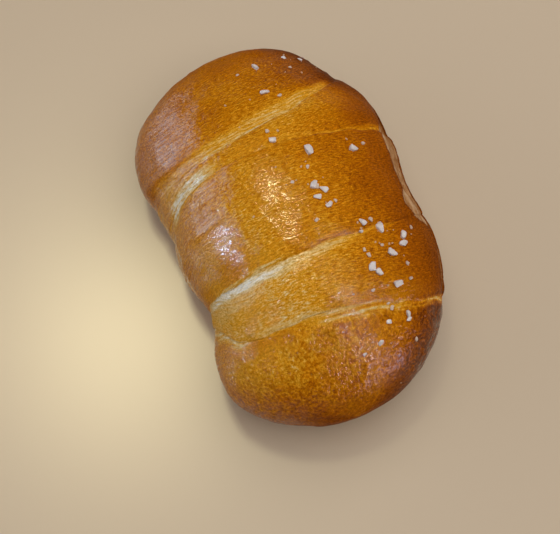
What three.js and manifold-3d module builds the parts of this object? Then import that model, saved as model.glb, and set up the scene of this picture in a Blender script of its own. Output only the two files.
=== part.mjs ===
// Salt bread roll: a tapering sheet of rich dough, wound up from its wide end and baked, with coarse
// salt stuck to its glazed crust. One solid, in millimetres. +X runs along the roll, +Y points to the
// salted flank, +Z is up, and the origin lies on the ground under the middle of the roll.

import * as THREE from "three";
import { mergeVertices } from "three/addons/utils/BufferGeometryUtils.js";
import Module from "manifold-3d";

// Overall sizes of the roll
const LENGTH = 123.5;
const WIDEST_LEVEL = 20; // height above the ground at which the roll is widest
const BELLY_DEPTH = 27; // depth of the round section below that level, before the base is cut flat
const CAP_START = 25; // distance from the middle at which the ends begin to round off
const UPPER_FULLNESS = 2.1; // exponent of the section's upper half, where 2 is an ellipse
const LOWER_FULLNESS = 2.5;
const END_OFFSETS = [1, -4]; // sideways place of the two end tips

// Section sizes at evenly spaced stations from end to end, before the ends are rounded off
const STATION_PITCH = 15;
const LEFT_REACH = [40.5, 41.5, 39.3, 35.7, 35.8, 33.7, 37.5, 41.8, 40];
const RIGHT_REACH = [38, 34.5, 36.8, 39.6, 37, 38.9, 37.2, 36.2, 36];
const CROWN_HEIGHT = [44, 45, 48.5, 53, 54, 53.5, 50, 46, 45];

// Edges of the wound layers: place along X at every eighth of a turn round the roll, from the right
// flank over the top to the left flank and back underneath
const LAYER_EDGES = [
  [-41, -33.4, -24.2, -20.8, -21.5, -23, -30, -38],
  [-16.5, -13.8, -16, -14.9, -8.5, -11, -15, -17],
  [11, 16.6, 17.6, 17.6, 14.5, 12, 10, 9.5],
  [37, 39.6, 35.4, 33.4, 20, 22, 30, 35],
];
const EDGE_DEPTH = 0.55; // drop from an outer layer to the one under it
const EDGE_ROUNDING = 1.8; // width over which an outer layer's edge rolls down
const VALLEY_WIDTH = 4; // width of the dip in the layer underneath
const LAYER_SWELL = 0.9; // how far the middle of a layer of the full width bulges
const FULL_LAYER_WIDTH = 28;
const RELIEF_FADE = [-0.9, -0.1]; // sine of the angles between which the relief dies away towards the base

// Long tear in the right flank, where the crust parted and the paler dough under it shows: its ends along X,
// and the angles in degrees of its upper and lower edge at even places between them
const TEAR_ENDS = [-27, 43];
const TEAR_TOP = [16, 22, 29, 27, 29, 36, 20, 19, 17, 5];
const TEAR_BOTTOM = [16, 11, 6, 5, 9, 9, 5, 4, 3, 5];
const TEAR_DEPTH = 1.1;
const TEAR_OPENING = 9; // degrees between its edges at which the tear is at its full depth
const TEAR_EDGE = 4; // degrees over which the torn crust drops on either side of an edge

// Coarse salt: place along X, place across Y, length, and turn in degrees of each large grain
const COARSE_SALT = [
  [-48.8, 16.5, 2.0, 20], [-47.5, 21.3, 1.8, 75], [-47.1, 6.5, 2.8, 40], [-35.1, 5.0, 3.0, 100],
  [-17.4, 0.5, 2.6, 80], [-10.0, 9.2, 3.6, 10], [-7.6, 21.6, 3.1, 95], [0.6, 5.8, 3.0, 150],
  [2.6, 8.0, 2.9, 30], [4.7, 5.3, 2.5, 60], [8.3, 7.6, 2.5, 110], [15.3, 15.2, 2.5, 20],
  [18.1, 19.3, 3.4, 170], [17.8, 13.3, 2.0, 0], [21.6, 25.6, 2.9, 130], [23.6, 24.3, 3.0, 60],
  [25.8, 20.0, 3.2, 50], [28.4, 12.8, 2.9, 160], [30.0, 14.3, 2.6, 15], [34.0, 18.3, 3.0, 90],
  [42.4, 18.8, 2.3, 30], [43.9, 18.2, 2.4, 120], [42.8, 12.3, 2.0, 70], [47.5, 7.9, 2.3, 140],
];
const GRAIN_WIDTH = 0.76; // width and height of a grain for each millimetre of its length
const GRAIN_HEIGHT = 0.5;
const GRAIN_UNEVENNESS = 0.16; // share by which a grain's corners stand out or in, by a sine of both steps
const GRAIN_STEP = 7;
const CORNER_STEP = 5;
const GRAIN_SUNK = 0.3; // share of a grain's height that lies in the crust
const FINE_SALT_SIZE = [1.2, 1.7];
const FINE_SALT_SPREAD = [3.2, 6.5]; // distance of a fine grain from the coarse one it fell beside
const GOLDEN_ANGLE = Math.PI * (3 - Math.sqrt(5));
const GOLDEN_SHARE = (Math.sqrt(5) - 1) / 2;

// Fineness of the solid, and steps that probe the slope of its surface
const PROBE_STEP = 0.2;
const PROBE_ANGLE = THREE.MathUtils.degToRad(0.3);
const STEPS_ROUND = 60;
const STEPS_PER_LAYER = 10;
const ROW_SLACK = 1e-6; // keeps a row that lies on a layer's edge in the layer that starts there
const LAYER_COUNT = LAYER_EDGES.length + 1;

const crust = new THREE.MeshStandardMaterial({ color: 0xb8741f, roughness: 0.35, metalness: 0 });

// Smooth curve through evenly spaced values (Catmull-Rom). Past its ends the curve keeps the end values,
// or runs on round the loop when it is closed.
function smoothCurve(values, position, closed) {
  const { clamp } = THREE.MathUtils;
  const count = values.length;
  const last = count - 1;
  const start = closed ? Math.floor(position) : clamp(Math.floor(position), 0, last - 1);
  const share = closed ? position - start : clamp(position - start, 0, 1);
  const pick = (step) => {
    const index = start + step;
    return values[closed ? (index + 2 * count) % count : clamp(index, 0, last)];
  };
  const [before, from, to, after] = [pick(-1), pick(0), pick(1), pick(2)];
  const slope = (to - before) * share;
  const bend = (2 * before - 5 * from + 4 * to - after) * share ** 2;
  const twist = (3 * from - before - 3 * to + after) * share ** 3;
  return from + (slope + bend + twist) / 2;
}

function atStation(values, x) {
  return smoothCurve(values, x / STATION_PITCH + (values.length - 1) / 2, false);
}

// Share of the full section that is left at x, falling to nothing at the tips along a quarter ellipse
function endRounding(x) {
  const past = Math.max(Math.abs(x) - CAP_START, 0) / (LENGTH / 2 - CAP_START);
  return Math.sqrt(Math.max(1 - past ** 2, 0));
}

// Sideways place of the line that joins the two end tips
function middleLine(x) {
  return THREE.MathUtils.lerp(...END_OFFSETS, x / LENGTH + 0.5);
}

// Section of the plain roll at x: a squarish oval whose four quarters have their own reach
function plainSection(x, angle) {
  const rounding = endRounding(x);
  const side = Math.cos(angle);
  const rise = Math.sin(angle);
  const reach = (side < 0 ? -atStation(LEFT_REACH, x) : atStation(RIGHT_REACH, x)) - middleLine(x);
  const depth = rise < 0 ? -BELLY_DEPTH : atStation(CROWN_HEIGHT, x) - WIDEST_LEVEL;
  const power = 2 / (rise < 0 ? LOWER_FULLNESS : UPPER_FULLNESS);
  return [reach * rounding * Math.abs(side) ** power, depth * rounding * Math.abs(rise) ** power];
}

// Place along X of the edge of a layer, counted from the -X tip to the +X tip
function layerEdge(index, angle) {
  if (index === 0) return -LENGTH / 2;
  if (index === LAYER_COUNT) return LENGTH / 2;
  const values = LAYER_EDGES[index - 1];
  return smoothCurve(values, (angle / (2 * Math.PI)) * values.length, true);
}

// Drop of an outer layer near its edge, rounded as a quarter circle
function lip(distance) {
  const near = THREE.MathUtils.clamp(1 - distance / EDGE_ROUNDING, 0, 1);
  return 1 - Math.sqrt(1 - near ** 2);
}

// Dip of the layer underneath, beside that edge
function valley(distance) {
  return Math.exp(-((distance / VALLEY_WIDTH) ** 2));
}

// Relief of the wound layers: each layer nearer the middle ends in a rounded lip and lies over the next
function layerRelief(x, angle, layer) {
  const start = layerEdge(layer, angle);
  const end = layerEdge(layer + 1, angle);
  const middle = (LAYER_COUNT - 1) / 2;
  const startCut = layer === 0 ? 0 : (layer > middle ? valley : lip)(x - start);
  const endCut = layer === LAYER_COUNT - 1 ? 0 : (layer < middle ? valley : lip)(end - x);
  const inner = layer > 0 && layer < LAYER_COUNT - 1;
  const fullSwell = LAYER_SWELL * Math.min((end - start) / FULL_LAYER_WIDTH, 1);
  const swell = inner ? fullSwell * Math.sin((Math.PI * (x - start)) / (end - start)) : 0;
  const upperSide = THREE.MathUtils.smoothstep(Math.sin(angle), ...RELIEF_FADE);
  return upperSide * (swell - EDGE_DEPTH * Math.max(startCut, endCut));
}

// Angle in degrees of one of the tear's edges at x
function tearEdge(degrees, x) {
  const along = (x - TEAR_ENDS[0]) / (TEAR_ENDS[1] - TEAR_ENDS[0]);
  return smoothCurve(degrees, along * (degrees.length - 1), false);
}

// Relief of the tear: a shallow trough in the right flank that closes where its two edges meet
function tearRelief(x, angle) {
  const { smoothstep, radToDeg } = THREE.MathUtils;
  const turn = radToDeg(Math.atan2(Math.sin(angle), Math.cos(angle)));
  const top = tearEdge(TEAR_TOP, x);
  const bottom = tearEdge(TEAR_BOTTOM, x);
  const belowTop = 1 - smoothstep(turn, top - TEAR_EDGE, top + TEAR_EDGE);
  const aboveBottom = smoothstep(turn, bottom - TEAR_EDGE, bottom + TEAR_EDGE);
  return -TEAR_DEPTH * belowTop * aboveBottom * smoothstep(top - bottom, 0, TEAR_OPENING);
}

// Point of the roll's surface, for a place along X that lies in the given layer
function surfacePoint(x, angle, layer) {
  const [side, rise] = plainSection(x, angle);
  const radius = Math.hypot(side, rise);
  const relief = layerRelief(x, angle, layer) + tearRelief(x, angle);
  const scale = radius > 0 ? 1 + relief / radius : 1;
  return new THREE.Vector3(x, middleLine(x) + side * scale, WIDEST_LEVEL + rise * scale);
}

// The roll before its base is cut: a sphere's rows and columns, carried along and round the roll so that
// whole rows lie on the layer edges
function rollGeometry() {
  const geometry = new THREE.SphereGeometry(1, STEPS_ROUND, STEPS_PER_LAYER * LAYER_COUNT);
  const { position, uv } = geometry.attributes;
  for (let i = 0; i < position.count; i += 1) {
    const angle = 2 * Math.PI * uv.getX(i) - Math.PI / 2;
    const along = uv.getY(i) * LAYER_COUNT;
    const layer = Math.min(Math.floor(along + ROW_SLACK), LAYER_COUNT - 1);
    const share = (1 - Math.cos(Math.PI * (along - layer))) / 2;
    const x = THREE.MathUtils.lerp(layerEdge(layer, angle), layerEdge(layer + 1, angle), share);
    position.setXYZ(i, ...surfacePoint(x, angle, layer));
  }
  return geometry;
}

// Angle round the plain roll at which its upper side passes over a place in plan
function angleOver(x, y) {
  const offset = y - middleLine(x);
  const reach = (offset < 0 ? -atStation(LEFT_REACH, x) : atStation(RIGHT_REACH, x)) - middleLine(x);
  const share = Math.min(offset / (reach * endRounding(x)), 1) ** (UPPER_FULLNESS / 2);
  return offset < 0 ? Math.PI - Math.acos(share) : Math.acos(share);
}

function layerAt(x, angle) {
  let layer = 0;
  while (layer < LAYER_COUNT - 1 && x > layerEdge(layer + 1, angle)) layer += 1;
  return layer;
}

// Direction square to the surface, from two short steps round and along the roll
function outwardDirection(x, angle, layer) {
  const point = surfacePoint(x, angle, layer);
  const round = surfacePoint(x, angle + PROBE_ANGLE, layer).sub(point);
  const along = surfacePoint(x + PROBE_STEP, angle, layer).sub(point);
  return round.cross(along).normalize();
}

// One grain of salt: an uneven many-faced lump that lies on the crust at a place in plan
function grainGeometry(x, y, length, turn, seed) {
  const geometry = mergedPositions(new THREE.IcosahedronGeometry(1 / 2));
  const { position } = geometry.attributes;
  const corner = new THREE.Vector3();
  for (let i = 0; i < position.count; i += 1) {
    corner.fromBufferAttribute(position, i);
    corner.multiplyScalar(1 + GRAIN_UNEVENNESS * Math.sin(GRAIN_STEP * seed + CORNER_STEP * i));
    position.setXYZ(i, ...corner);
  }
  const angle = angleOver(x, y);
  const layer = layerAt(x, angle);
  const point = surfacePoint(x, angle, layer);
  const outward = outwardDirection(x, angle, layer);
  const height = GRAIN_HEIGHT * length;
  geometry.scale(length, GRAIN_WIDTH * length, height);
  geometry.rotateZ(turn);
  geometry.translate(0, 0, height * (0.5 - GRAIN_SUNK));
  geometry.applyQuaternion(new THREE.Quaternion().setFromUnitVectors(new THREE.Vector3(0, 0, 1), outward));
  geometry.translate(...point);
  return geometry;
}

// Every coarse grain, and one fine grain that fell beside it
function saltGeometries() {
  return COARSE_SALT.flatMap(([x, y, length, turn], i) => {
    const share = ((i + 1) * GOLDEN_SHARE) % 1;
    const heading = i * GOLDEN_ANGLE;
    const distance = THREE.MathUtils.lerp(...FINE_SALT_SPREAD, share);
    const fineX = x + distance * Math.cos(heading);
    const fineY = y + distance * Math.sin(heading);
    const fineLength = THREE.MathUtils.lerp(...FINE_SALT_SIZE, 1 - share);
    const coarse = grainGeometry(x, y, length, THREE.MathUtils.degToRad(turn), i);
    const fine = grainGeometry(fineX, fineY, fineLength, heading, i + COARSE_SALT.length);
    return [coarse, fine];
  });
}

// Geometry with nothing but joined positions, as solids need
function mergedPositions(geometry) {
  geometry.deleteAttribute("normal");
  geometry.deleteAttribute("uv");
  return mergeVertices(geometry);
}

const wasm = await Module();
wasm.setup();

function solidOf(geometry) {
  const joined = mergedPositions(geometry);
  const vertProperties = new Float32Array(joined.attributes.position.array);
  const triVerts = new Uint32Array(joined.index.array);
  return new wasm.Manifold(new wasm.Mesh({ numProp: 3, vertProperties, triVerts }));
}

function geometryOf(solid) {
  const mesh = solid.getMesh();
  const geometry = new THREE.BufferGeometry();
  geometry.setAttribute("position", new THREE.BufferAttribute(mesh.vertProperties, 3));
  geometry.setIndex(new THREE.BufferAttribute(mesh.triVerts, 1));
  geometry.computeVertexNormals();
  return geometry;
}

// The baked roll: the wound dough with its salt, cut flat where it lay on the tray
function saltBreadRoll() {
  const below = new THREE.BoxGeometry(2 * LENGTH, 2 * LENGTH, BELLY_DEPTH).translate(0, 0, -BELLY_DEPTH / 2);
  let solid = solidOf(rollGeometry()).subtract(solidOf(below));
  for (const grain of saltGeometries()) solid = solid.add(solidOf(grain));
  const mesh = new THREE.Mesh(geometryOf(solid), crust);
  mesh.name = "salt_bread_roll";
  return mesh;
}

const object = new THREE.Group();
object.add(saltBreadRoll());

export default object;
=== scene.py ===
"""Salt bread roll: wound dough with a glossy golden crust and coarse salt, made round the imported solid.

Shapes are worked out in millimetres and put into the meshes in metres. +X runs along the roll, +Y points
to the salted and torn flank, and angles round the roll start at that flank and pass over the top.
"""
import math

import bpy
import numpy as np
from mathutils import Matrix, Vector


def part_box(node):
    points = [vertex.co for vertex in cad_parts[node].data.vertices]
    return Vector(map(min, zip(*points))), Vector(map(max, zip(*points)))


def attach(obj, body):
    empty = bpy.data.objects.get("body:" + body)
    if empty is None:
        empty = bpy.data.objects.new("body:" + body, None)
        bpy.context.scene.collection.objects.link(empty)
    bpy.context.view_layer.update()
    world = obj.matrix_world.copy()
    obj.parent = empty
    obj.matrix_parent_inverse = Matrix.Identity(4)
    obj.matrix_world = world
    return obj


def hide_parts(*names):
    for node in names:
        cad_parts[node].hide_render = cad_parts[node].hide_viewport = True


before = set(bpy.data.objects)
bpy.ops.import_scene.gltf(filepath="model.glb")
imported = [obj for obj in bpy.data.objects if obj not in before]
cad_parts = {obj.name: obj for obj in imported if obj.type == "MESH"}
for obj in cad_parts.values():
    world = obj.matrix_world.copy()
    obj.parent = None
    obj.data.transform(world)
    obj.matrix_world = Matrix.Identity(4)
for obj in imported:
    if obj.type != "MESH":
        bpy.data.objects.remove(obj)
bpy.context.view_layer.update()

# Crust
# The roll is a tapering sheet of rich dough, wound up from its wide end, so that its layers lie over each
# other from the middle out to both ends. Its skin was brushed with egg and butter and baked on a tray to a
# glossy golden brown, and it stayed pale where a layer stretched late and where the right flank tore open.
MM = 0.001
ROLL_LOW, ROLL_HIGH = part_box("salt_bread_roll")
LENGTH = (ROLL_HIGH.x - ROLL_LOW.x) / MM

# Rolled form, the same as the solid's: both flanks' reach and the crown's height at even stations along it
STATION_PITCH = 15
LEFT_REACH = (40.5, 41.5, 39.3, 35.7, 35.8, 33.7, 37.5, 41.8, 40)
RIGHT_REACH = (38, 34.5, 36.8, 39.6, 37, 38.9, 37.2, 36.2, 36)
CROWN_HEIGHT = (44, 45, 48.5, 53, 54, 53.5, 50, 46, 45)
WIDEST_LEVEL = 20  # height over the base where the roll is widest
BELLY_DEPTH = 27  # depth of the lower half, which the base cuts off
UPPER_FULLNESS = 2.1  # powers of the section's curve: 2 is an ellipse, and more is squarer
LOWER_FULLNESS = 2.5
CAP_START = 25  # distance from the middle where the ends begin to round off
END_OFFSETS = (1, -4)  # sideways places of the two tips
BASE_ROUNDING = 1.2


def between(low, high, share):
    """Value a share of the way from low to high."""
    return low + (high - low) * share


def eased(value, low, high):
    """Share of the way that a value has gone from low to high, eased at both ends: 3 s^2 - 2 s^3."""
    share = np.clip((value - low) / (high - low), 0, 1)
    return share * share * (3 - 2 * share)


def bell(offset):
    """Bell curve, 1 where the offset is 0 and falling away on both sides: e^(-offset^2)."""
    return np.exp(-(offset**2))


def smooth_curve(values, position, closed=False):
    """Curve through evenly spaced values: between each two a cubic whose slope at a value is half the step
    between its neighbours. A closed curve runs on round the loop, and an open one keeps its end values."""
    values = np.asarray(values, float)
    last = len(values) - 1
    if closed:
        start = np.floor(position).astype(int)
    else:
        position = np.clip(position, 0, last)
        start = np.minimum(np.floor(position).astype(int), last - 1)
    share = position - start
    steps = np.asarray(start)[..., None] + np.arange(-1, 3)
    steps = steps % len(values) if closed else np.clip(steps, 0, last)
    before, here, following, beyond = np.moveaxis(values[steps], -1, 0)
    slope = (following - before) * share
    bend = (2 * before - 5 * here + 4 * following - beyond) * share**2
    twist = (3 * here - before - 3 * following + beyond) * share**3
    return here + (slope + bend + twist) / 2


def at_station(values, x):
    """Value at x of a smooth curve through the stations along the roll."""
    return smooth_curve(values, x / STATION_PITCH + (len(values) - 1) / 2)


def middle_line(x):
    """Sideways place of the straight line that joins the two end tips."""
    return between(*END_OFFSETS, x / LENGTH + 0.5)


def end_rounding(x):
    """Share of the full section that is left at x: a quarter ellipse from the cap's start to the tip."""
    past = np.maximum(np.abs(x) - CAP_START, 0) / (LENGTH / 2 - CAP_START)
    return np.sqrt(np.maximum(1 - past**2, 0))


def plain_section(x, angle):
    """Section of the plain roll: side = reach |cos|^p and rise = depth |sin|^p, with a reach of its own in
    each quarter."""
    rounding = end_rounding(x)
    side = np.cos(angle)
    rise = np.sin(angle)
    edge = np.where(side < 0, -at_station(LEFT_REACH, x), at_station(RIGHT_REACH, x))
    depth = np.where(rise < 0, -BELLY_DEPTH, at_station(CROWN_HEIGHT, x) - WIDEST_LEVEL)
    power = 2 / np.where(rise < 0, LOWER_FULLNESS, UPPER_FULLNESS)
    reach = (edge - middle_line(x)) * rounding
    return reach * np.abs(side) ** power, depth * rounding * np.abs(rise) ** power


# Layers: the place along X of each one's edge at every eighth of a turn, from the right flank over the top
LAYER_EDGES = (
    (-41, -33.4, -24.2, -20.8, -21.5, -23, -30, -38),
    (-16.5, -13.8, -16, -14.9, -8.5, -11, -15, -17),
    (11, 16.6, 17.6, 17.6, 14.5, 12, 10, 9.5),
    (37, 39.6, 35.4, 33.4, 20, 22, 30, 35),
)
EIGHTHS = 8
LAYER_COUNT = len(LAYER_EDGES) + 1
MIDDLE_LAYER = LAYER_COUNT // 2
EDGE_DEPTH = 0.55
EDGE_ROUNDING = 1.8
VALLEY_WIDTH = 4
LAYER_SWELL = 0.9
FULL_LAYER_WIDTH = 28  # width from which a layer swells to its full height
RELIEF_FADE = (-0.9, -0.1)  # sines of the angles below the flanks between which the relief comes in
WAVER_SEED = 5
WAVER_TURNS = np.arange(7, 24)
WAVER_SIZE = 0.05


def layer_edges(angle):
    """Places along X of all edges from tip to tip: a closed smooth curve for each, and a seeded waver
    that is a sum of sines."""
    rng = np.random.default_rng(WAVER_SEED)
    tip = np.full_like(angle, LENGTH / 2)
    curves = [-tip]
    for values in LAYER_EDGES:
        phases = rng.uniform(0, 2 * np.pi, len(WAVER_TURNS))
        waver = WAVER_SIZE * np.sin(angle[:, None] * WAVER_TURNS + phases).sum(-1)
        curves.append(smooth_curve(values, angle / (2 * np.pi) * EIGHTHS, closed=True) + waver)
    return np.stack([*curves, tip])


def layer_relief(x, start, end, layer, angle):
    """Height of the layers over the plain roll: a layer nearer the middle ends in a lip rounded as a quarter
    circle, the one under it dips in a bell curve, and inner layers swell as half a sine."""
    def lip(distance):
        return 1 - np.sqrt(1 - np.clip(1 - distance / EDGE_ROUNDING, 0, 1) ** 2)

    def valley(distance):
        return bell(distance / VALLEY_WIDTH)

    start_cut = np.where(layer > MIDDLE_LAYER, valley(x - start), lip(x - start)) * (layer > 0)
    end_cut = np.where(layer < MIDDLE_LAYER, valley(end - x), lip(end - x)) * (layer < LAYER_COUNT - 1)
    inner = (layer > 0) & (layer < LAYER_COUNT - 1)
    full_swell = LAYER_SWELL * np.minimum((end - start) / FULL_LAYER_WIDTH, 1) * inner
    swell = full_swell * np.sin(np.pi * (x - start) / (end - start))
    return eased(np.sin(angle), *RELIEF_FADE) * (swell - EDGE_DEPTH * np.maximum(start_cut, end_cut))


# Tear: its ends along X, and the angles in degrees of its upper and lower edge at even places between them
TEAR_ENDS = (-27, 43)
TEAR_TOP = (16, 22, 29, 27, 29, 36, 20, 19, 17, 5)
TEAR_BOTTOM = (16, 11, 6, 5, 9, 9, 5, 4, 3, 5)
TEAR_DEPTH = 1.1
TEAR_OPENING = 9  # degrees between the edges from which the tear is fully open
TEAR_EDGE = 0.9  # degrees on each side of an edge across which the crust parts


def tear_edge(degrees, x):
    """Angle in degrees of one of the tear's edges at x: a smooth curve through its even places."""
    return smooth_curve(degrees, (x - TEAR_ENDS[0]) / (TEAR_ENDS[1] - TEAR_ENDS[0]) * (len(degrees) - 1))


def tear_margins(x, angle):
    """Degrees from a place up to the tear's upper edge and down to its lower one, both above 0 inside it."""
    turn = np.degrees(np.arctan2(np.sin(angle), np.cos(angle)))
    return tear_edge(TEAR_TOP, x) - turn, turn - tear_edge(TEAR_BOTTOM, x)


def tear_opening(x):
    """How far the tear's two edges have parted at x, from 0 to 1."""
    return eased(tear_edge(TEAR_TOP, x) - tear_edge(TEAR_BOTTOM, x), 0, TEAR_OPENING)


def tear_share(x, angle):
    """How far the crust has parted, from 0 to 1: eased across both edges, and closing where they meet."""
    return tear_opening(x) * eased(np.minimum(*tear_margins(x, angle)), -TEAR_EDGE, TEAR_EDGE)


# Grid of the crust: rows for each layer, drawn together at its edges, and columns round the roll from the
# middle of its base, drawn together over the crown. The first row would be a tip, which is a pole instead
LAYER_ROWS = (72, 40, 84, 48, 66)
COLUMNS = 300
ROW_CROWDING = 0.6
COLUMN_CROWDING = 0.35
TURN_LENGTH = 226  # length of a turn round the roll, where angles are laid out as lengths

row_layers = []
row_shares = []
for layer_index, row_count in enumerate(LAYER_ROWS):
    row_steps = np.arange(row_count) / row_count
    crowded = row_steps - ROW_CROWDING * np.sin(2 * np.pi * row_steps) / (2 * np.pi)
    capped = (1 - np.cos(np.pi * row_steps)) / 2
    row_layers.append(np.full(row_count, layer_index))
    row_shares.append(capped if layer_index in (0, LAYER_COUNT - 1) else crowded)
row_layer = np.concatenate(row_layers)[1:]
row_share = np.concatenate(row_shares)[1:, None]
column_steps = np.arange(COLUMNS + 1) / COLUMNS
column_turns = column_steps + COLUMN_CROWDING * np.sin(2 * np.pi * column_steps) / (2 * np.pi)
seam_angles = 2 * np.pi * column_turns - np.pi / 2
angles = seam_angles[:-1]

edges = layer_edges(angles)
layer_starts = edges[row_layer]
layer_ends = edges[row_layer + 1]
along_x = between(layer_starts, layer_ends, row_share)
around = np.broadcast_to(angles, along_x.shape)

# Place of each row on the crown, and how far the middle of its layer has drifted from there along X
crown_edges = layer_edges(np.array([np.pi / 2]))[:, 0]
crown_x = between(crown_edges[row_layer], crown_edges[row_layer + 1], row_share[:, 0])
crown_middles = (crown_edges[:-1] + crown_edges[1:]) / 2
winding_drift = (layer_starts + layer_ends) / 2 - crown_middles[row_layer][:, None]
wound_x = along_x - winding_drift

# Fine relief: the sizes and heights of soft lumps, of stretch lines that run with the winding and of the
# torn dough's ridges, the sizes and degrees of the rags of the tear's edges, and blisters
LUMPS = ((15, 0.42), (5.5, 0.25), (2.4, 0.09))
STRETCH_LINES = (((26, 1.9, 1), 0.07),)
RIDGES = (((8, 2.4, 1), 0.6), ((3.2, 1.8, 1), 0.4))
TEAR_RAGS = ((2.2, 1.5), (6, 2.4))
LUMP_SEED = 0
STRETCH_SEED = 11
RIDGE_SEED = 13
RAG_SEED = 19
BLISTER_SEED = 17
BLISTER_COUNT = 170
BLISTER_RADIUS = (0.7, 1.5)
BLISTER_HEIGHT = 0.16  # as a share of the blister's radius
BASE_FADE = (0.3, 5)  # heights over the base between which the relief comes in
LATTICE_CELLS = 48


def cloud_noise(places, size, seed):
    """Smooth random field from -1 to 1: seeded values on a lattice with cells of the given size, blended
    across each cell with eased shares. Places are moved by the roll's length, so that all are above 0."""
    lattice = np.random.default_rng(seed).uniform(-1, 1, (LATTICE_CELLS,) * 3)
    lattice_places = (places + LENGTH) / np.asarray(size)
    cell = np.floor(lattice_places).astype(int)
    share = eased(lattice_places - cell, 0, 1)
    total = np.zeros(places.shape[:-1])
    for corner in np.ndindex(2, 2, 2):
        weight = np.where(corner, share, 1 - share).prod(-1)
        total += weight * lattice[tuple(np.moveaxis((cell + corner) % LATTICE_CELLS, -1, 0))]
    return total


def summed_noise(places, fields, first_seed):
    """Sum of smooth random fields, each with a cell size, a height and a seed of its own."""
    seeded = enumerate(fields, first_seed)
    return sum(height * cloud_noise(places, size, seed) for seed, (size, height) in seeded)


def rolled_surface():
    """Points of the roll: its plain section moved outwards by the relief and inwards by the tear, with the
    base flattened by a soft lower limit, z = (z + sqrt(z^2 + r^2)) / 2."""
    side, rise = plain_section(along_x, around)
    relief = layer_relief(along_x, layer_starts, layer_ends, row_layer[:, None], around) - TEAR_DEPTH * tear
    scale = 1 + relief / np.hypot(side, rise)
    height = WIDEST_LEVEL + rise * scale
    level = (height + np.sqrt(height**2 + BASE_ROUNDING**2)) / 2
    return np.stack([along_x, middle_line(along_x) + side * scale, level], -1)


def outward_directions(points):
    """Unit directions square to a grid of points: the step round the roll crossed with the step along it."""
    round_step = np.roll(points, -1, 1) - np.roll(points, 1, 1)
    along_step = np.gradient(points, axis=0)
    square = np.cross(round_step, along_step)
    return square / np.linalg.norm(square, axis=-1, keepdims=True)


def blisters(points):
    """Height of seeded blisters on the upper side of a grid of points: a bell curve round each one's centre,
    with its radius where the curve has fallen to e^-2."""
    rng = np.random.default_rng(BLISTER_SEED)
    rows = rng.integers(0, len(row_layer), BLISTER_COUNT)
    columns = rng.integers(COLUMNS // 4, 3 * COLUMNS // 4, BLISTER_COUNT)
    radii = rng.uniform(*BLISTER_RADIUS, BLISTER_COUNT)
    height = np.zeros_like(along_x)
    for centre, radius in zip(points[rows, columns], radii):
        reach = ((points - centre) ** 2).sum(-1) / radius**2
        height += BLISTER_HEIGHT * radius * np.exp(-2 * reach)
    return height


arc_length = around / (2 * np.pi) * TURN_LENGTH
flank_places = np.stack([along_x, arc_length, np.zeros_like(along_x)], -1)
wound_places = np.stack([arc_length, wound_x, np.zeros_like(along_x)], -1)
ragged = around + np.radians(summed_noise(flank_places, TEAR_RAGS, RAG_SEED))
tear = tear_share(along_x, ragged)
ridges = summed_noise(flank_places, RIDGES, RIDGE_SEED)
rolled_points = rolled_surface()
fine_relief = summed_noise(wound_places, STRETCH_LINES, STRETCH_SEED)
fine_relief += summed_noise(rolled_points, LUMPS, LUMP_SEED)
fine_relief += tear * ridges + blisters(rolled_points)
fine_relief *= eased(rolled_points[..., 2], *BASE_FADE)
crust_points = rolled_points + outward_directions(rolled_points) * fine_relief[..., None]

# Browning, from 0 for raw dough to 1 for the darkest crust, with some painted shade and light in it: that of
# each layer, and what is added to it
LAYER_BAKE = np.array([0.56, 0.42, 0.44, 0.38, 0.555])
FLANK_BAKE = np.array([0.38, 0.42, 0.35, 0.42, 0.48])  # added to each layer on the right flank
FLANK_FADE = (0.05, 1.02)  # cosines of the angles between which a flank's browning comes in
LEFT_BAKE = 0.02
LEFT_FADE = (0.4, 0.9)
GOLD_BAKE = -0.07  # along a strip left of the crown
GOLD_ANGLE = math.radians(108)
GOLD_SPREAD = math.radians(22)
# Darker towards both tips: partly browning, partly painted shade where the ends turn down away from the
# light
TIP_BAKE_AND_SHADE = 0.15
TIP_FADE = (42, 61)
# Darker on each layer's lip: partly toasting, partly painted shade where the lip curves down into its crease
LIP_BAKE_AND_SHADE = 0.04
LIP_WIDTH = 1.2
# Darker round the tear's edges: partly toasting, partly painted shade where the crust parts
TORN_RIM_BAKE_AND_SHADE = 0.14
TORN_RIM_TURN = 2.2  # degrees
BAKE_CLOUDS = ((22, 0.07), (8, 0.05))  # sizes and changes
BAKE_SEED = 30
BASE_BAKE = 0.78  # browned by the tray
BASE_EDGE = (0, 3)  # heights between which the tray's brown gives way
# Patches lighter or darker than their layer, partly uneven browning and partly painted light and shade:
# place along X, angle, both spreads and the change
BROWNING_AND_PAINTED_LIGHT_PATCHES = (
    (48, 72, 12, 26, -0.06),
    (40, 135, 9, 25, -0.07),
    (-29, 66, 7, 26, -0.16),
    (-54, 70, 8, 40, -0.07),
    (6, 113, 12, 12, -0.05),
    (8, 150, 10, 22, -0.08),
    (22, 150, 9, 20, -0.03),
    (-33, 50, 8, 12, -0.03),
    (-54, 140, 8, 25, -0.1),
    (54, 142, 9, 25, 0.09),
    (0, 2, 24, 14, -0.08),
    (28, 6, 12, 10, -0.08),
    (30, 105, 6, 14, 0.04),
)


def past_edge(edge):
    """Distance along X of the whole grid past a layer's edge, above 0 on the side away from the middle."""
    outside = 1 if edge > MIDDLE_LAYER else -1
    return outside * (along_x - edges[edge])


def soft_patch(patch_x, degrees, x_spread, degree_spread):
    """Bell curve over the whole grid round a place along X and an angle, with a spread each way."""
    off_x = (along_x - patch_x) / x_spread
    off_angle = (around - math.radians(degrees)) / math.radians(degree_spread)
    return bell(off_x) * bell(off_angle)


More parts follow.
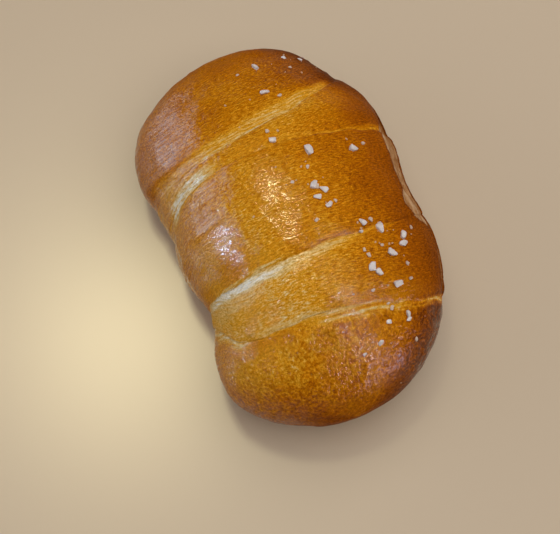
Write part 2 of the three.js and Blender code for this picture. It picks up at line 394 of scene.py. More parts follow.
def browning_and_painted_shade():
    """Browning of the crust with painted shade and light in it: that of its layer, more on the flanks, at
    the tips, along the layers' lips and round the tear, where it is partly painted shade, less along a
    golden strip left of the crown, changed by patches that are partly painted light and shade and by soft
    clouds, and the tray's brown underneath."""
    side = np.cos(around)
    flank = eased(side, *FLANK_FADE) * end_rounding(along_x)
    bake_and_shade = LAYER_BAKE[row_layer][:, None] + FLANK_BAKE[row_layer][:, None] * flank
    bake_and_shade += LEFT_BAKE * eased(-side, *LEFT_FADE)
    bake_and_shade += GOLD_BAKE * bell((around - GOLD_ANGLE) / GOLD_SPREAD)
    # Darker towards the tips: partly browning, partly painted shade
    bake_and_shade += TIP_BAKE_AND_SHADE * eased(np.abs(along_x), *TIP_FADE)
    # Darker on the layers' lips: partly toasting, partly painted shade of the crease
    for edge in range(1, LAYER_COUNT):
        inside = -past_edge(edge)
        bake_and_shade += LIP_BAKE_AND_SHADE * np.where(inside > 0, bell(inside / LIP_WIDTH), 0)
    # Patches, partly uneven browning and partly painted light and shade
    for *place, change in BROWNING_AND_PAINTED_LIGHT_PATCHES:
        bake_and_shade += change * soft_patch(*place)
    bake_and_shade += summed_noise(crust_points, BAKE_CLOUDS, BAKE_SEED)
    # Darker round the tear's edges: partly toasting, partly painted shade
    into_tear = np.minimum(*tear_margins(along_x, ragged))
    bake_and_shade += TORN_RIM_BAKE_AND_SHADE * tear_opening(along_x) * bell(into_tear / TORN_RIM_TURN)
    return between(BASE_BAKE, bake_and_shade, eased(crust_points[..., 2], *BASE_EDGE))


# Pale stretches: the edge they lie beside, counted from the -X tip, the angles they run between, their near
# and far side in millimetres from that edge at the first and at the last angle, and their paleness
PALE_STRETCHES = (
    (1, 44, 75, (0, 2.6), (0, 6.0), 0.52),
    (1, 75, 128, (0, 6.5), (0, 5.6), 0.50),
    (1, 128, 165, (0, 5.0), (0, 4.6), 0.28),
    (1, 82, 132, (0, 1.0), (0, 0.8), 0.32),
    (2, 26, 70, (0, 1.6), (0, 1.0), 0.32),
    (2, 24, 50, (0, 3.5), (0, 2.5), 0.27),
    (2, 66, 92, (0, 3.2), (0, 3.0), 0.10),
    (2, 120, 160, (0.4, 4.6), (0.3, 5.6), 0.71),
    (2, 118, 165, (-1.0, 3.4), (-1.0, 4.4), 0.26),
    (3, 50, 76, (0, 0.9), (0, 1.8), 0.32),
    (3, 74, 112, (0, 3.6), (0.8, 5.2), 0.46),
    (3, 110, 138, (1.0, 4.0), (0.3, 2.8), 0.94),
    (3, 134, 168, (0, 2.8), (0, 2.8), 0.84),
    (3, 122, 200, (0, 9.0), (0, 14.0), 0.30),
    (3, 104, 152, (-0.9, 2.4), (-1.1, 2.4), 0.48),
    (4, -20, 34, (0, 3.2), (0, 2.8), 0.68),
    (4, 28, 58, (0.2, 2.2), (0, 3.4), 0.35),
    (4, 54, 98, (0, 3.4), (0, 5.0), 0.52),
    (4, 94, 126, (-1.4, 1.2), (-1.4, 1.0), 0.32),
    (4, 136, 178, (0, 3.0), (0, 4.5), 0.50),
    (4, 138, 178, (0, 1.2), (0, 1.6), 0.45),
)
PALE_EDGE = 0.6  # width of the near side's rise
PALE_CORE = 0.4  # share of the width that is palest
RUN_EASE = math.radians(8)
# Patches of painted sheen, paler and greyer where the glaze would show the windows' reflection: place along
# X, angle, both spreads and the paleness
PAINTED_SHEEN_PATCHES = (
    (42, 140, 8, 20, 0.30),
    (42, 58, 8, 18, 0.27),
    (55, 70, 7, 14, 0.13),
    (2, 150, 13, 12, 0.12),
    (-20, 148, 4, 18, 0.21),
)


def angle_run(first, last):
    """Share of each column that lies between two angles in degrees, eased at both."""
    begun = eased(angles, math.radians(first) - RUN_EASE, math.radians(first) + RUN_EASE)
    ended = eased(angles, math.radians(last) - RUN_EASE, math.radians(last) + RUN_EASE)
    return begun * (1 - ended)


def paleness_and_painted_sheen():
    """Paleness of the crust: each stretch rises steeply at its near side, is eased to nothing at its far
    side and is eased at both ends, and each patch of painted sheen is a bell curve. Where they overlap, each
    one takes its share of the brown that the others leave."""
    brown = np.ones_like(along_x)
    for edge, first, last, first_sides, last_sides, strength in PALE_STRETCHES:
        distance = past_edge(edge)
        share = np.clip((angles - math.radians(first)) / math.radians(last - first), 0, 1)
        near = between(first_sides[0], last_sides[0], share)
        far = between(first_sides[1], last_sides[1], share)
        risen = eased(distance, near - PALE_EDGE, near)
        fallen = eased(distance, between(near, far, PALE_CORE), far)
        brown *= 1 - strength * risen * (1 - fallen) * angle_run(first, last)
    # Painted sheen: paler patches standing in for the glaze's reflection
    for *place, strength in PAINTED_SHEEN_PATCHES:
        brown *= 1 - strength * soft_patch(*place)
    return 1 - brown


# Glaze: where it thins, and the gaps that the brush left, each with a place along the crown, a half width,
# its first and last angle, and its bareness
BARE_FLANK_FADE = (0.35, 0.8)  # cosines of the angles between which the right flank goes bare
GLAZED_END = (34, 44)  # places along X between which that flank is glazed again
BARE_END_FADES = ((-47, -57), (54, 61))  # places along X between which the ends go bare
BRUSH_GAPS = (
    (-27.6, 1.3, 114, 175, 0.9),
    (-15.2, 0.9, 114, 175, 0.8),
    (-1.0, 1.1, 120, 152, 0.8),
    (14.5, 3.6, 104, 175, 0.9),
    (-20.5, 2.0, 125, 138, 0.4),
    (-7.0, 1.5, 127, 137, 0.6),
    (28.0, 9.0, 119, 180, 1.0),
    (-18.0, 3.0, 86, 108, 1.0),
    (37.5, 3.0, 114, 142, 0.9),
    (-55.0, 8.0, 20, 112, 0.85),
)


def glaze_cover():
    """How much of the crust the glaze covers: all of the crown and the left flank, less on the right flank
    and round the ends, which the brush hardly reached, none in the tear, and less in each gap, as a bell
    curve across it."""
    bare_flank = eased(np.cos(around), *BARE_FLANK_FADE) * (1 - eased(along_x, *GLAZED_END))
    cover = (1 - bare_flank) * (1 - tear)
    for fade in BARE_END_FADES:
        cover *= 1 - eased(along_x, *fade)
    for middle, half_width, first, last, bareness in BRUSH_GAPS:
        across = bell((crown_x - middle) / half_width)[:, None]
        cover *= 1 - bareness * across * angle_run(first, last)
    return cover


# Torn dough's tone: that of its lower edge, and what is added above it and by the ridges. The rise above the
# lower edge is partly browning and partly painted shade where the flank turns under, and the ridges' part is
# painted shade, lighter on them than in their grooves
TORN_EDGE_TONE = 0.16
TORN_RISE_TONE = 0.4
TORN_RISE = 16  # degrees
TORN_RIDGE_SHADE = 0.5


def torn_tone():
    """Tone of the torn dough, from 0 for brown to 1 for pale: lighter up from its lower edge, partly
    browning and partly painted shade where the flank turns under, and lighter where its ridges stand out,
    painted shade of their grooves."""
    above_foot = tear_margins(along_x, ragged)[1]
    return TORN_EDGE_TONE + TORN_RISE_TONE * eased(above_foot, 0, TORN_RISE) + TORN_RIDGE_SHADE * ridges


def globe_faces(rows, columns):
    """Faces of a closed grid whose rings are followed by its first and last pole: quads between the rings
    and a fan of triangles at each pole, all facing out."""
    row, column = np.meshgrid(np.arange(rows - 1), np.arange(columns), indexing="ij")
    beside = (column + 1) % columns
    corners = (row * columns + column, row * columns + beside,
               (row + 1) * columns + beside, (row + 1) * columns + column)
    quads = np.stack(corners, -1).reshape(-1, 4)
    ring = np.arange(columns)
    ring_next = (ring + 1) % columns
    first_pole = np.full(columns, rows * columns)
    last_ring = (rows - 1) * columns
    first_fan = np.stack([first_pole, ring_next, ring], -1)
    last_fan = np.stack([first_pole + 1, last_ring + ring, last_ring + ring_next], -1)
    return quads, np.concatenate([first_fan, last_fan])


def make_piece(name, vertices, quads, triangles, smooth=False):
    """Mesh object at the origin, flat or smooth shaded, from vertices in millimetres and arrays of faces."""
    mesh = bpy.data.meshes.new(name)
    mesh.from_pydata((vertices * MM).tolist(), [], quads.tolist() + triangles.tolist())
    mesh.polygons.foreach_set("use_smooth", np.full(len(mesh.polygons), smooth))
    mesh.update()
    piece = bpy.data.objects.new(name, mesh)
    bpy.context.scene.collection.objects.link(piece)
    return piece


def add_attribute(piece, name, values):
    """Number on every vertex of a piece, which its material reads."""
    attribute = piece.data.attributes.new(name, "FLOAT", "POINT")
    attribute.data.foreach_set("value", values.astype(np.float32))


def with_poles(ring_values):
    """Values of a closed grid in the order of its vertices: a pole gets the mean of the ring beside it."""
    return np.concatenate([ring_values.ravel(), [ring_values[0].mean(), ring_values[-1].mean()]])


def winding_map():
    """Places of all face corners on the crust's own map, in millimetres: u is the way round the roll, and v
    the place along it less its layer's drift. A face keeps the drift of its first row, and a fan's corner
    at the pole lies midway between the other two."""
    seams = seam_angles / (2 * np.pi) * TURN_LENGTH
    left = seams[:-1]
    right = seams[1:]
    middle = (left + right) / 2
    near = np.pad(wound_x, ((0, 0), (0, 1)), mode="wrap")
    far = np.pad(along_x[1:] - winding_drift[:-1], ((0, 0), (0, 1)), mode="wrap")
    quad_v = np.stack([near[:-1, :-1], near[:-1, 1:], far[:, 1:], far[:, :-1]], -1)
    quad_u = np.broadcast_to(np.stack([left, right, right, left], -1), quad_v.shape)
    first_u = np.stack([middle, right, left], -1)
    first_v = np.stack([-LENGTH / 2 - winding_drift[0], near[0, 1:], near[0, :-1]], -1)
    last_u = np.stack([middle, left, right], -1)
    last_v = np.stack([LENGTH / 2 - winding_drift[-1], near[-1, :-1], near[-1, 1:]], -1)
    corner_u = np.concatenate([part.ravel() for part in (quad_u, first_u, last_u)])
    corner_v = np.concatenate([part.ravel() for part in (quad_v, first_v, last_v)])
    return np.stack([corner_u, corner_v], -1)


PEBBLED_END = (32, 42)  # places along X between which the winding's streaks give way to pebbled skin
tips = [[tip_x, middle_line(tip_x), WIDEST_LEVEL] for tip_x in (-LENGTH / 2, LENGTH / 2)]
crust_vertices = np.concatenate([crust_points.reshape(-1, 3), tips])
crust = make_piece("crust", crust_vertices, *globe_faces(*along_x.shape), smooth=True)
crust_numbers = {
    # The bake number holds the browning with some painted shade and light in it
    "bake_and_shade": browning_and_painted_shade(),
    # The pale number holds the pale dough and the painted sheen patches
    "pale": paleness_and_painted_sheen(),
    "tear": tear,
    "torn_tone": torn_tone(),
    "glaze": glaze_cover(),
    "pebbled": eased(along_x, *PEBBLED_END),
}
for number_name, ring_numbers in crust_numbers.items():
    add_attribute(crust, number_name, with_poles(ring_numbers))
winding = crust.data.uv_layers.new(name="winding")
winding.data.foreach_set("uv", (winding_map() * MM).astype(np.float32).ravel())


def linear(red, green, blue):
    """Colour for a shader from the everyday 0 to 255 values: the display's curve undone, which starts
    straight and then is a power of 2.4."""
    shares = np.array([red, green, blue]) / 255
    curved = np.where(shares <= 0.04045, shares / 12.92, ((shares + 0.055) / 1.055) ** 2.4)
    return (*curved.tolist(), 1)


def new_material(name):
    """Material without nodes, and its node tree."""
    material = bpy.data.materials.new(name)
    material.use_nodes = True
    material.node_tree.nodes.clear()
    return material, material.node_tree


def add_node(tree, kind, inputs=None, **settings):
    """Shader node whose inputs are linked where they are given as a node's output, and set otherwise."""
    node = tree.nodes.new(kind)
    for name, value in settings.items():
        setattr(node, name, value)
    for name, value in (inputs or {}).items():
        if isinstance(value, bpy.types.NodeSocket):
            tree.links.new(value, node.inputs[name])
        else:
            node.inputs[name].default_value = value
    return node


def attribute_of(tree, name):
    """Output of a number that the mesh holds."""
    return add_node(tree, "ShaderNodeAttribute", attribute_name=name).outputs["Fac"]


def math_of(tree, operation, *values):
    """Output of one step of arithmetic."""
    return add_node(tree, "ShaderNodeMath", dict(enumerate(values)), operation=operation).outputs[0]


def product_of(tree, first, second):
    """Output of first * second."""
    return math_of(tree, "MULTIPLY", first, second)


def sum_of(tree, first, second, factor=1.0):
    """Output of first + second * factor."""
    return math_of(tree, "MULTIPLY_ADD", second, factor, first)


def weighted_sum(tree, start, parts, weights):
    """Output of the start plus each named part times its weight."""
    total = start
    for name, weight in weights.items():
        total = sum_of(tree, total, parts[name], weight)
    return total


def clamped(tree, value):
    """Output of the value kept between 0 and 1."""
    return add_node(tree, "ShaderNodeClamp", {"Value": value}).outputs[0]


def mix_of(tree, share, first, second):
    """Number that runs from first to second as the share goes from 0 to 1. They are the node's inputs 2
    and 3."""
    return add_node(tree, "ShaderNodeMix", {"Factor": share, 2: first, 3: second}).outputs[0]


def mixed_colour(tree, share, first, second):
    """Colour that runs from first to second as the share goes from 0 to 1. They are the node's inputs 6
    and 7, and the colour is its output 2."""
    mix = add_node(tree, "ShaderNodeMix", {"Factor": share, 6: first, 7: second}, data_type="RGBA")
    return mix.outputs[2]


def noise_of(tree, place, scale, detail, roughness=0.5):
    """Noise from about -0.5 to 0.5, with a scale of its own along each axis of the place."""
    scaled = add_node(tree, "ShaderNodeMapping", {"Vector": place, "Scale": scale}).outputs[0]
    settings = {"Vector": scaled, "Scale": 1.0, "Detail": detail, "Roughness": roughness}
    return math_of(tree, "SUBTRACT", add_node(tree, "ShaderNodeTexNoise", settings).outputs["Fac"], 0.5)


def colour_ramp(tree, factor, tones):
    """Colour output that runs through the given tones."""
    ramp = add_node(tree, "ShaderNodeValToRGB", {"Fac": factor})
    stops = ramp.color_ramp.elements
    while len(stops) < len(tones):
        stops.new(1.0)
    for stop, (place, tone) in zip(stops, tones):
        stop.position = place
        stop.color = linear(*tone)
    return ramp.outputs["Color"]


# Glazed crust: its browns from raw dough to the darkest, and the torn dough's tones
CRUST_TONES = (
    # The two palest tones are whiter and greyer than raw dough: partly pale dough, partly painted sheen of
    # the glaze on the white bands
    (0.00, (228, 220, 206)),
    (0.10, (222, 203, 164)),
    (0.18, (216, 184, 118)),
    (0.32, (213, 152, 34)),
    (0.50, (191, 117, 6)),
    (0.68, (158, 84, 4)),
    (0.85, (118, 56, 3)),
    (1.00, (84, 38, 4)),
)
TORN_TONES = ((0.0, (132, 76, 24)), (0.5, (176, 132, 90)), (1.0, (206, 180, 150)))
# Textures of the skin: the map they lie on, their scale in cells per metre, their detail and roughness
SKIN_TEXTURES = {
    "winding_streaks": ("winding", (380, 1500, 1), 3.0, 0.6),
    "broad_streaks": ("winding", (90, 1100, 1), 2.0, 0.5),
    "winding_crinkles": ("winding", (750, 2200, 1), 1.0, 0.5),
    "fibres": ("winding", (520, 170, 1), 3.0, 0.5),
    "mottle": ("object", (420, 420, 420), 3.0, 0.6),
    "grain": ("object", (2500, 2500, 2500), 2.0, 0.6),
    "pimples": ("object", (1100, 1100, 1100), 1.0, 0.5),
}
PIMPLE_FLOOR = 0.1  # noise above which a pimple stands out
# What each texture adds to the browning, to the lightness of a brown, to the fraying of what is pale, to the
# torn dough's tone, to the roughness, to the brushed glaze, and in millimetres to the height. Grain and
# crinkles, which also raise the skin, make the browns lighter on their bumps and darker in their hollows:
# painted shade of that relief
SPECKLE_AND_SHADE = {"streaks": 0.34, "mottle": 0.16, "grain": -0.35, "crinkles": -0.5}
SHADE_AND_LIGHTNESS = {"streaks": 0.5, "grain": 0.68, "crinkles": 0.8}
FRAYING = {"broad_streaks": 2.4, "streaks": 2.4}
CRUMB = {"fibres": 1.1, "mottle": 0.8, "raised": -2.0}
DULLNESS = {"mottle": 0.25, "tear": 0.35}
BRUSHING = {"pebbled": -0.1, "brush_marks": 2.6}
HEIGHTS = {"crinkles": 0.13, "raised": 0.12, "grain": 0.04, "mottle": 0.14, "end_pimples": 0.04}
DRY_SPECKLE = 0.5  # share of the speckle that shows without glaze
# Full paleness takes away most of the browning, so that the white bands also carry painted sheen
PALE_LOSS = 0.86  # share of the browning that full paleness takes away
CRUST_ROUGHNESS = 0.42
BRUSHED_COVER = 0.7  # share of the glaze that the brush left on average


def crust_material():
    """Glazed crust: the bake number, which also holds painted shade and is speckled by the textures, leads
    along the browns, and the pale number, which also holds painted sheen, takes part of it away in frayed
    streaks. Textures also lighten each brown and raise the skin, and the grain and crinkles make the browns
    lighter on their bumps and darker in their hollows, painted shade of that relief. The torn dough is
    duller, with fibres and crumbs, and the glaze is a thin clear coat, brushed on in streaks."""
    material, tree = new_material("glazed_crust")
    maps = {
        "object": add_node(tree, "ShaderNodeTexCoord").outputs["Object"],
        "winding": add_node(tree, "ShaderNodeUVMap", uv_map="winding").outputs["UV"],
    }
    skin = {name: attribute_of(tree, name) for name in crust_numbers}
    for name, (map_name, scale, detail, roughness) in SKIN_TEXTURES.items():
        skin[name] = noise_of(tree, maps[map_name], scale, detail, roughness)
    pebbled = skin["pebbled"]
    skin["streaks"] = mix_of(tree, pebbled, skin["winding_streaks"], skin["mottle"])
    skin["crinkles"] = mix_of(tree, pebbled, skin["winding_crinkles"], skin["pimples"])
    skin["brush_marks"] = mix_of(tree, pebbled, skin["broad_streaks"], skin["mottle"])
    skin["end_pimples"] = product_of(tree, pebbled, skin["pimples"])
    skin["raised"] = math_of(tree, "MAXIMUM", sum_of(tree, skin["pimples"], -PIMPLE_FLOOR), 0.0)

    speckle_share = sum_of(tree, DRY_SPECKLE, skin["glaze"], 1 - DRY_SPECKLE)
    # Grain and crinkles lighten the brown on their bumps: painted shade of that relief
    speckle_and_shade = product_of(tree, weighted_sum(tree, 0.0, skin, SPECKLE_AND_SHADE), speckle_share)
    frayed_pale = product_of(tree, skin["pale"], weighted_sum(tree, 1.0, skin, FRAYING))
    kept_brown = sum_of(tree, 1.0, frayed_pale, -PALE_LOSS)
    browned = product_of(tree, sum_of(tree, skin["bake_and_shade"], speckle_and_shade), kept_brown)
    brown = colour_ramp(tree, browned, CRUST_TONES)
    # Grain and crinkles also lighten the brown on their bumps here: painted shade of that relief
    shade_and_lightness = weighted_sum(tree, 1.0, skin, SHADE_AND_LIGHTNESS)
    lit_brown = add_node(tree, "ShaderNodeVectorMath", {0: brown, "Scale": shade_and_lightness}, operation="SCALE")
    crumb = colour_ramp(tree, weighted_sum(tree, skin["torn_tone"], skin, CRUMB), TORN_TONES)
    # The torn dough's colour takes over between a third and two thirds of the way into the tear
    torn_cover = clamped(tree, sum_of(tree, -1.0, skin["tear"], 3.0))

    height = weighted_sum(tree, 0.0, skin, HEIGHTS)
    bump = add_node(tree, "ShaderNodeBump", {"Strength": 1.0, "Distance": MM, "Height": height})
    brushed = clamped(tree, weighted_sum(tree, BRUSHED_COVER, skin, BRUSHING))
    surface = add_node(tree, "ShaderNodeBsdfPrincipled", {
        "Base Color": mixed_colour(tree, torn_cover, lit_brown.outputs[0], crumb),
        "Roughness": weighted_sum(tree, CRUST_ROUGHNESS, skin, DULLNESS),
        "Specular IOR Level": 0.01,
        "Coat Weight": product_of(tree, skin["glaze"], brushed),
        "Coat Roughness": 0.05,
        "Coat IOR": 1.5,
        "Normal": bump.outputs["Normal"],
        "Coat Normal": bump.outputs["Normal"],
    })
    add_node(tree, "ShaderNodeOutputMaterial", {"Surface": surface.outputs[0]})
    return material


crust.data.materials.append(crust_material())
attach(crust, "root")
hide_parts("salt_bread_roll")

# Salt
# Coarse cloudy crystals and their finer crumbs, strewn over the glazed dough before baking, so that each
# one sits a little way into the crust. The coarse and fine grains are where the solid has them, and the
# specks between them are too small for it.

# Coarse grains: place along X, sideways place, length, and turn in degrees
COARSE_SALT = np.array([
    (-48.8, 16.5, 2.0, 20), (-47.5, 21.3, 1.8, 75), (-47.1, 6.5, 2.8, 40), (-35.1, 5.0, 3.0, 100),
    (-17.4, 0.5, 2.6, 80), (-10.0, 9.2, 3.6, 10), (-7.6, 21.6, 3.1, 95), (0.6, 5.8, 3.0, 150),
    (2.6, 8.0, 2.9, 30), (4.7, 5.3, 2.5, 60), (8.3, 7.6, 2.5, 110), (15.3, 15.2, 2.5, 20),
    (18.1, 19.3, 3.4, 170), (17.8, 13.3, 2.0, 0), (21.6, 25.6, 2.9, 130), (23.6, 24.3, 3.0, 60),
    (25.8, 20.0, 3.2, 50), (28.4, 12.8, 2.9, 160), (30.0, 14.3, 2.6, 15), (34.0, 18.3, 3.0, 90),
    (42.4, 18.8, 2.3, 30), (43.9, 18.2, 2.4, 120), (42.8, 12.3, 2.0, 70), (47.5, 7.9, 2.3, 140),
])
GRAIN_PROPORTIONS = np.array([1, 0.76, 0.5])  # length, width and height
GRAIN_SUNK = 0.3  # share of the height that is in the crust
FINE_SALT_SIZE = (1.2, 1.7)
FINE_SALT_SPREAD = (3.2, 6.5)  # distance of a fine grain from the coarse one it fell beside
GOLDEN_ANGLE = math.pi * (3 - math.sqrt(5))  # steps that spread the fine grains evenly round and out
GOLDEN_SHARE = (math.sqrt(5) - 1) / 2
SALT_SEED = 23
SPECK_COUNT = 40
SPECK_SIZE = (0.4, 0.9)
SPECK_SPREAD = 5.5
CRYSTAL_RINGS = 9
CRYSTAL_SIDES = 14
CUBE_FACES = 6
CUBE_REACH = (0.8, 1.0)  # distances of the cube's planes from the crystal's centre
CUT_CORNERS = 6
CUT_REACH = (0.45, 0.95)
EDGE_SHARPNESS = 40  # power of the mean: more is sharper
MELTED = (0, 0.45, 0.8)  # how far the coarse grains, the fine ones and the specks melted into the glaze


def crystal_shapes(count, rng):
    """Worn crystals of unit half length: along each direction of a small globe the surface lies where it
    meets the nearest of a cube's six planes and a few seeded cuts, softened as a high power mean."""
    polar = np.pi * np.arange(1, CRYSTAL_RINGS + 1) / (CRYSTAL_RINGS + 1)
    turn = 2 * np.pi * np.arange(CRYSTAL_SIDES) / CRYSTAL_SIDES
    ring_x = np.broadcast_to(-np.cos(polar)[:, None], (CRYSTAL_RINGS, CRYSTAL_SIDES))
    ring_y = np.outer(np.sin(polar), np.cos(turn))
    ring_z = np.outer(np.sin(polar), np.sin(turn))
    rings = np.stack([ring_x, ring_y, ring_z], -1).reshape(-1, 3)
    directions = np.concatenate([rings, [[-1, 0, 0], [1, 0, 0]]])
    cuts = rng.normal(size=(count, CUT_CORNERS, 3))
    cuts /= np.linalg.norm(cuts, axis=-1, keepdims=True)
    cube = np.broadcast_to(np.concatenate([np.eye(3), -np.eye(3)]), (count, CUBE_FACES, 3))
    planes = np.concatenate([cube, cuts], 1)
    cube_distances = rng.uniform(*CUBE_REACH, (count, CUBE_FACES))
    cut_distances = rng.uniform(*CUT_REACH, (count, CUT_CORNERS))
    distances = np.concatenate([cube_distances, cut_distances], 1)
    facing = np.maximum(np.einsum("vk,gfk->gvf", directions, planes), 0) / distances[:, None]
    radius = (facing**EDGE_SHARPNESS).sum(-1) ** (-1 / EDGE_SHARPNESS)
    return directions * radius[..., None]


def crust_under(x, y):
    """Point and outward direction of the finished crust under each place in plan: those of the nearest
    vertex of its upper side."""
    upper = (np.sin(around) > 0).ravel()
    top_points = crust_points.reshape(-1, 3)[upper]
    top_outward = outward_directions(crust_points).reshape(-1, 3)[upper]
    gaps = (top_points[None, :, 0] - x[:, None]) ** 2 + (top_points[None, :, 1] - y[:, None]) ** 2
    nearest = gaps.argmin(1)
    return top_points[nearest], top_outward[nearest]


def lying_axes(up, turn):
    """Axes of grains that lie on the crust: the length turned from +X round the crust's outward direction,
    the width square to both, and that direction."""
    along = np.cross([0, 1, 0], up)
    along /= np.linalg.norm(along, axis=-1, keepdims=True)
    sideways = np.cross(up, along)
    length_axis = np.cos(turn)[:, None] * along + np.sin(turn)[:, None] * sideways
    return np.stack([length_axis, np.cross(up, length_axis), up], 1)


salt_rng = np.random.default_rng(SALT_SEED)
coarse_x, coarse_y, coarse_length, coarse_turn = COARSE_SALT.T
coarse_count = len(COARSE_SALT)
grain_order = np.arange(coarse_count)
fine_share = ((grain_order + 1) * GOLDEN_SHARE) % 1
fine_turn = grain_order * GOLDEN_ANGLE
fine_distance = between(*FINE_SALT_SPREAD, fine_share)
fine_x = coarse_x + fine_distance * np.cos(fine_turn)
fine_y = coarse_y + fine_distance * np.sin(fine_turn)
fine_length = between(*FINE_SALT_SIZE, 1 - fine_share)
speck_home = salt_rng.integers(0, coarse_count, SPECK_COUNT)
speck_shift = salt_rng.normal(0, SPECK_SPREAD, (2, SPECK_COUNT))
speck_x = coarse_x[speck_home] + speck_shift[0]
speck_y = coarse_y[speck_home] + speck_shift[1]
speck_length = salt_rng.uniform(*SPECK_SIZE, SPECK_COUNT)
speck_turn = salt_rng.uniform(0, 2 * np.pi, SPECK_COUNT)
grain_x = np.concatenate([coarse_x, fine_x, speck_x])
grain_y = np.concatenate([coarse_y, fine_y, speck_y])
grain_length = np.concatenate([coarse_length, fine_length, speck_length])
grain_turn = np.concatenate([np.radians(coarse_turn), fine_turn, speck_turn])

grain_places, grain_up = crust_under(grain_x, grain_y)
grain_half = grain_length[:, None] / 2 * GRAIN_PROPORTIONS
crystals = crystal_shapes(len(grain_x), salt_rng) * grain_half[:, None]
crystals[..., 2] += (grain_half[:, 2] * (1 - 2 * GRAIN_SUNK))[:, None]
turned_crystals = np.einsum("gvk,gkj->gvj", crystals, lying_axes(grain_up, grain_turn))
grains = grain_places[:, None] + turned_crystals
grain_count, grain_vertices = grains.shape[:2]
grain_quads, grain_fans = globe_faces(CRYSTAL_RINGS, CRYSTAL_SIDES)
first_vertex = (np.arange(grain_count) * grain_vertices)[:, None, None]
salt = make_piece("salt", grains.reshape(-1, 3), (first_vertex + grain_quads).reshape(-1, 4),
                  (first_vertex + grain_fans).reshape(-1, 3))
grain_melted = np.repeat(MELTED, (coarse_count, coarse_count, SPECK_COUNT))
add_attribute(salt, "melted", np.repeat(grain_melted, grain_vertices))

SALT_TONES = ((0.0, (216, 206, 207)), (1.0, (250, 246, 248)))
MELTED_TONE = (208, 160, 100)
SALT_ROUGHNESS = 0.4
FROST_SCALE = (900, 900, 900)  # cells per metre
FROST_DETAIL = 3.0
FROST_CONTRAST = 1.5
FROST_DULLNESS = 0.4
FROST_DEPTH = 0.2 * MM


def salt_material():
    """Cloudy salt: white with a faint cool cast, letting some light through, with frosted faces, and golden
    as far as it melted into the glaze."""
    material, tree = new_material("cloudy_salt")
    place = add_node(tree, "ShaderNodeTexCoord").outputs["Object"]
    frost = noise_of(tree, place, FROST_SCALE, FROST_DETAIL)
    cloudy = colour_ramp(tree, sum_of(tree, 0.5, frost, FROST_CONTRAST), SALT_TONES)
    bump = add_node(tree, "ShaderNodeBump", {"Strength": 0.4, "Distance": FROST_DEPTH, "Height": frost})
    surface = add_node(tree, "ShaderNodeBsdfPrincipled", {
        "Base Color": mixed_colour(tree, attribute_of(tree, "melted"), cloudy, linear(*MELTED_TONE)),
        "Roughness": sum_of(tree, SALT_ROUGHNESS, frost, FROST_DULLNESS),
        "IOR": 1.54,
        "Transmission Weight": 0.2,
        "Normal": bump.outputs["Normal"],
    })
    add_node(tree, "ShaderNodeOutputMaterial", {"Surface": surface.outputs[0]})
    return material


salt.data.materials.append(salt_material())
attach(salt, "root")

# Floor, light and camera
# A plain pale floor, a warm soft box overhead and a cool fill on the left to see by, panes and lamps that
# show only as sheen and glints in the glaze, and the camera that looks steeply down along the roll.
FLOOR_HALF = 3.0
floor_mesh = bpy.data.meshes.new("floor")
floor_corners = [(-FLOOR_HALF, -FLOOR_HALF, 0), (FLOOR_HALF, -FLOOR_HALF, 0),
                 (FLOOR_HALF, FLOOR_HALF, 0), (-FLOOR_HALF, FLOOR_HALF, 0)]
floor_mesh.from_pydata(floor_corners, [], [(0, 1, 2, 3)])
floor = bpy.data.objects.new("floor", floor_mesh)
bpy.context.scene.collection.objects.link(floor)
floor_material = bpy.data.materials.new("pale_floor")
floor_material.use_nodes = True
floor_surface = floor_material.node_tree.nodes["Principled BSDF"]
floor_surface.inputs["Base Color"].default_value = linear(202, 184, 161)
floor_surface.inputs["Roughness"].default_value = 0.3
floor_surface.inputs["Specular IOR Level"].default_value = 0.5
floor.data.materials.append(floor_material)

# Each light's name, its place and its width and height in metres, its power in watts and its tint. The soft
# ones only light the roll, and the panes and glints show only in its glaze
WARM = (1.0, 0.95, 0.88)
AMBER = (1.0, 0.88, 0.5)
COOL = (0.85, 0.92, 1.0)
PALE_BLUE = (0.8, 0.85, 1.0)
SKY_BLUE = (0.56, 0.8, 1.0)
LILAC = (0.85, 0.75, 1.0)
SOFT_LIGHTS = (
    ("soft_box", (0.0, 0.33, 0.95), (1.6, 1.6), 11.4, WARM),
    ("left_fill", (-0.75, -2.0, 0.9), (1.8, 1.0), 6.6, COOL),
)
LEFT_PANES = (
    ("left_window", (-1.38, -0.8, 0.465), (2.46, 0.31), 7.4, SKY_BLUE),
    ("left_sill", (-1.6, -0.8, 0.155), (2.9, 0.31), 14.0, SKY_BLUE),
    ("left_blind", (-1.38, -0.8, 0.72), (2.46, 0.2), 1.6, SKY_BLUE),
)
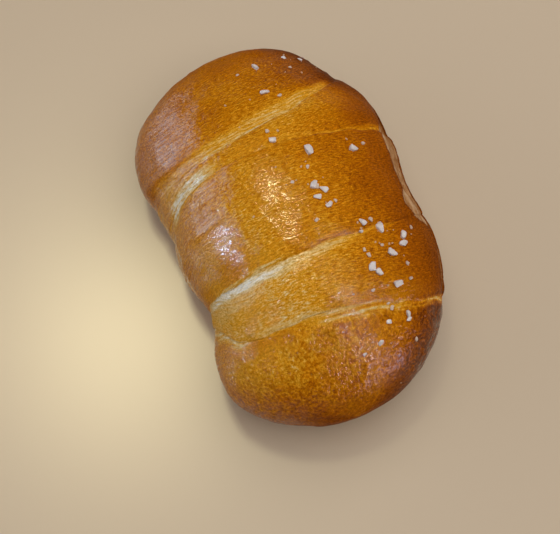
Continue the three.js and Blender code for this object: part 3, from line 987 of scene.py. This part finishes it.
GLINTS = (
    ("right_window", (0.87, 0.45, 0.1), (0.5, 0.2), 1.9, LILAC),
    ("overhead_lamp", (-0.25, -0.05, 0.86), (0.13, 0.09), 3.0, AMBER),
    ("far_lamp", (0.36, 0.19, 0.8), (0.08, 0.08), 0.5, AMBER),
    ("left_lamp", (-0.035, -0.72, 0.312), (0.08, 0.08), 3.0, (0.5, 0.74, 1.0)),
    ("high_lamp", (0.255, -0.465, 0.58), (0.03, 0.03), 0.36, (0.6, 0.72, 1.0)),
    ("right_lamp", (0.61, 0.21, 0.44), (0.05, 0.05), 0.6, (0.7, 0.82, 1.0)),
    ("right_panel", (0.58, 0.37, 0.58), (0.3, 0.3), 0.14, PALE_BLUE),
    ("low_panel", (0.55, -0.70, 0.45), (0.12, 0.1), 0.22, PALE_BLUE),
)
LEFT_PANES_FACE = Vector((0, 1, 0))


def add_area_light(name, place, size, power, tint, shows, facing=None):
    """Panel of the given width and height. It faces the roll unless told otherwise, and shows in one kind of
    reflection only, diffuse or glossy."""
    light = bpy.data.lights.new(name, "AREA")
    light.shape = "RECTANGLE"
    light.size, light.size_y = size
    light.energy = power
    light.color = tint
    lamp = bpy.data.objects.new(name, light)
    lamp.location = place
    away = Vector(place) if facing is None else -facing
    lamp.rotation_euler = away.to_track_quat("Z", "Y").to_euler()
    lamp.visible_diffuse = shows == "diffuse"
    lamp.visible_glossy = shows == "glossy"
    bpy.context.scene.collection.objects.link(lamp)


for soft_light in SOFT_LIGHTS:
    add_area_light(*soft_light, "diffuse")
for pane in LEFT_PANES:
    add_area_light(*pane, "glossy", LEFT_PANES_FACE)
for glint in GLINTS:
    add_area_light(*glint, "glossy")

# A dim warm world that fills the shadows and doesn't show in the glaze
world = bpy.data.worlds.new("studio")
bpy.context.scene.world = world
world.use_nodes = True
world.node_tree.nodes["Background"].inputs["Color"].default_value = (1.0, 0.95, 0.9, 1)
world.node_tree.nodes["Background"].inputs["Strength"].default_value = 0.22
world.cycles_visibility.glossy = False
bpy.context.scene.view_settings.view_transform = "Standard"

CAMERA_AZIMUTH = math.radians(68.0)
CAMERA_ELEVATION = math.radians(71.7)
CAMERA_DISTANCE = 0.46
CAMERA_TARGET = Vector((0.0035, -0.0057, 0))
view_back = Vector((
    math.sin(CAMERA_AZIMUTH) * math.cos(CAMERA_ELEVATION),
    -math.cos(CAMERA_AZIMUTH) * math.cos(CAMERA_ELEVATION),
    math.sin(CAMERA_ELEVATION),
))
camera_data = bpy.data.cameras.new("camera")
camera_data.lens = 92
camera_data.sensor_width = 36
camera = bpy.data.objects.new("camera", camera_data)
camera.location = CAMERA_TARGET + CAMERA_DISTANCE * view_back
camera.rotation_euler = view_back.to_track_quat("Z", "Y").to_euler()
bpy.context.scene.collection.objects.link(camera)
bpy.context.scene.camera = camera
